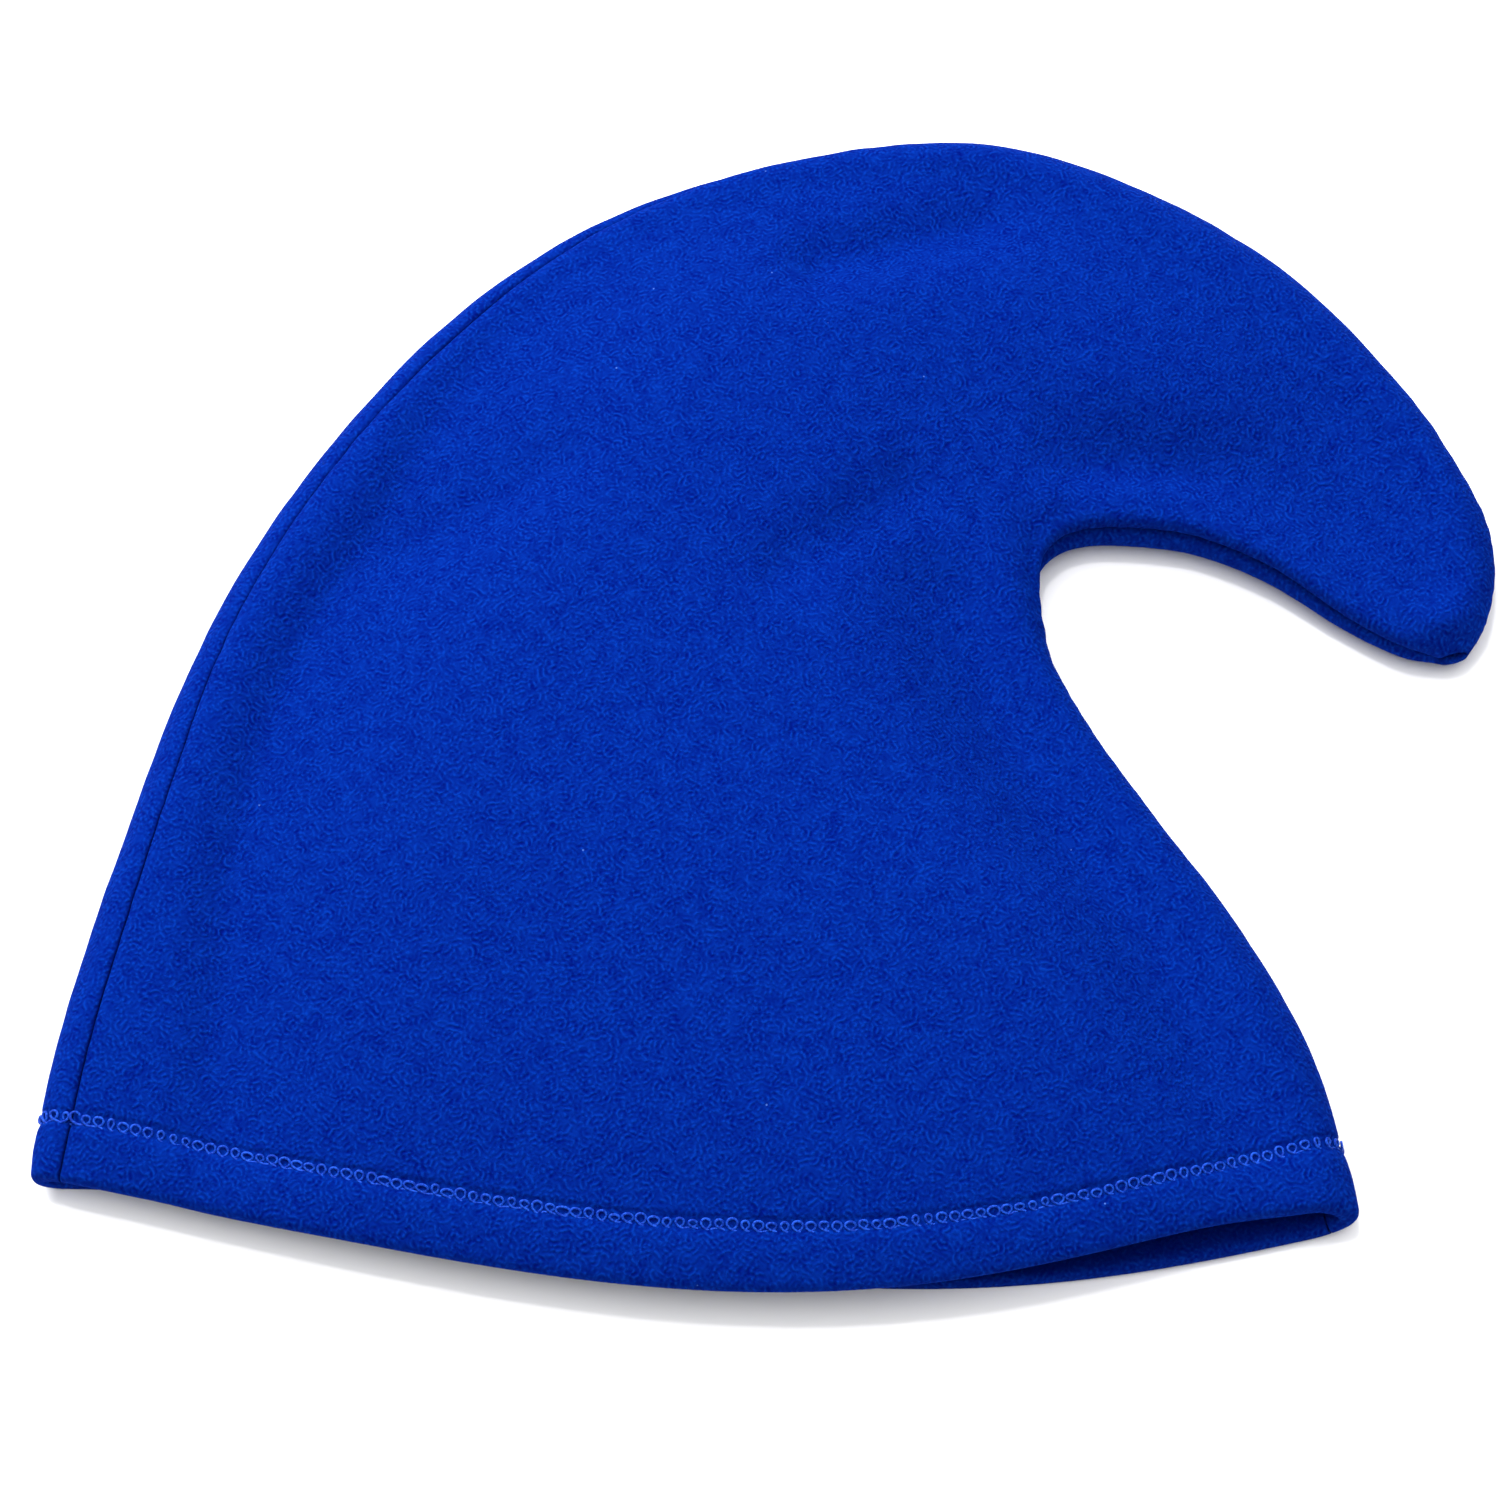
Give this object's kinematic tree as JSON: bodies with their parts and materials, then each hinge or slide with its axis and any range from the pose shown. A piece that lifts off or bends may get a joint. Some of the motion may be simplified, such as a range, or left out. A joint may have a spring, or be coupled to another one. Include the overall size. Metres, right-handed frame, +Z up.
{
  "type": "gnome hat",
  "caption": "Soft curled gnome hat of felted fleece lying on its side, with a seam round its edge, an open mouth and a stitched hem.",
  "frame": {"origin": "on the table, under the middle of the hat's footprint", "axes": "+X to the curled tip, +Y from the mouth to the crown, +Z up from the table that the hat lies on"},
  "size_m": [0.3172, 0.2816, 0.0292],
  "materials": {
    "fleece": "felted, matt with a soft sheen"
  },
  "bodies": {
    "root": {"right_panel": "fleece", "left_panel": "fleece", "right_hem_turning": "fleece", "left_hem_turning": "fleece"}
  },
  "joints": []
}
